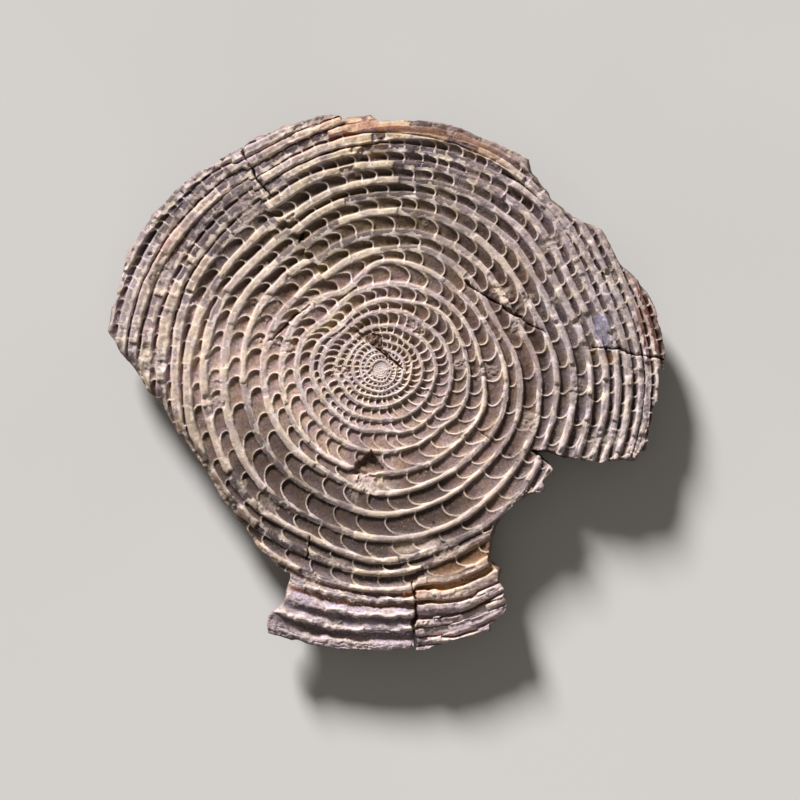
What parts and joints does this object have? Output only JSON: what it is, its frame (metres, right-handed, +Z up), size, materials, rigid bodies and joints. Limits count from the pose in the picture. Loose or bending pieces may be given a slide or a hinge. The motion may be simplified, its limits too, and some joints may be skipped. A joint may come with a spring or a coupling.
{
  "type": "nummulite fossil half",
  "caption": "Half of a large lens-shaped nummulite fossil split on its middle plane: spiral wall, curved chamber septa, cracked and broken rim, convex back.",
  "frame": {"origin": "centre of the rest flat on the convex back, under the centre of the spiral", "axes": "+Z up through the split face, +X along the longest width, +Y towards the top of the face; the spiral winds outwards clockwise as seen from +Z"},
  "size_m": [0.0362, 0.035, 0.0036],
  "materials": {
    "fossil_limestone": "matt, fine-grained calcite with brown and ochre stains"
  },
  "bodies": {
    "root": {"nummulite_half": "fossil_limestone"}
  },
  "joints": []
}
